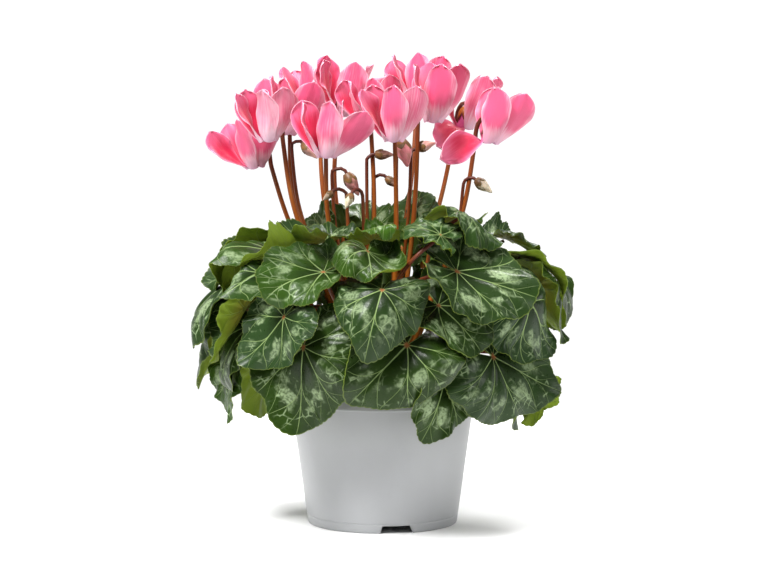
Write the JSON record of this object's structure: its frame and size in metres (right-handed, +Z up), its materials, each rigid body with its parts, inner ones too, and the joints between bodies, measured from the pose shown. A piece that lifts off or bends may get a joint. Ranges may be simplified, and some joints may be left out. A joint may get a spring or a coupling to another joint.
{
  "type": "potted cyclamen",
  "caption": "Flowering cyclamen with marbled heart-shaped leaves and swept-back pink blooms on upright stalks, in a tapered plastic nursery pot with a collared rim.",
  "frame": {"origin": "centre of the circle on which the pot's foot ring stands", "axes": "+Z up along the pot's axis, -Y towards the front of the plant, +X to its right as seen from the front"},
  "size_m": [0.2363, 0.228, 0.2957],
  "materials": {
    "grey_plastic": "satin moulded polypropylene, pale cool grey",
    "earth": "rough, dark damp peat",
    "stalk_brown": "smooth, half-gloss, orange-brown",
    "leaf_green": "half-gloss dark green with silver-green marbling and pale veins",
    "petal_pink": "silky pink, deep crimson inside, white at the base"
  },
  "bodies": {
    "root": {"pot": "grey_plastic", "soil": "earth", "tuber_and_stalks": "stalk_brown", "leaf_01": "leaf_green", "leaf_02": "leaf_green", "leaf_03": "leaf_green", "leaf_04": "leaf_green", "leaf_05": "leaf_green", "leaf_06": "leaf_green", "leaf_07": "leaf_green", "leaf_08": "leaf_green", "leaf_09": "leaf_green", "leaf_10": "leaf_green", "leaf_11": "leaf_green", "leaf_12": "leaf_green", "leaf_13": "leaf_green", "leaf_14": "leaf_green", "leaf_15": "leaf_green", "leaf_16": "leaf_green", "leaf_17": "leaf_green", "leaf_18": "leaf_green", "leaf_19": "leaf_green", "leaf_20": "leaf_green", "leaf_21": "leaf_green", "leaf_22": "leaf_green", "leaf_23": "leaf_green", "leaf_24": "leaf_green", "leaf_25": "leaf_green", "leaf_26": "leaf_green", "leaf_27": "leaf_green", "leaf_28": "leaf_green", "leaf_29": "leaf_green", "leaf_30": "leaf_green", "leaf_31": "leaf_green", "leaf_32": "leaf_green", "leaf_33": "leaf_green", "leaf_34": "leaf_green", "leaf_35": "leaf_green", "leaf_36": "leaf_green", "leaf_37": "leaf_green", "leaf_38": "leaf_green", "leaf_39": "leaf_green", "leaf_40": "leaf_green", "leaf_41": "leaf_green", "leaf_42": "leaf_green", "leaf_43": "leaf_green", "bloom_01": "petal_pink", "bloom_02": "petal_pink", "bloom_03": "petal_pink", "bloom_04": "petal_pink", "bloom_05": "petal_pink", "bloom_06": "petal_pink", "bloom_07": "petal_pink", "bloom_08": "petal_pink", "bloom_09": "petal_pink", "bloom_10": "petal_pink", "bloom_11": "petal_pink", "bloom_12": "petal_pink"}
  },
  "joints": []
}
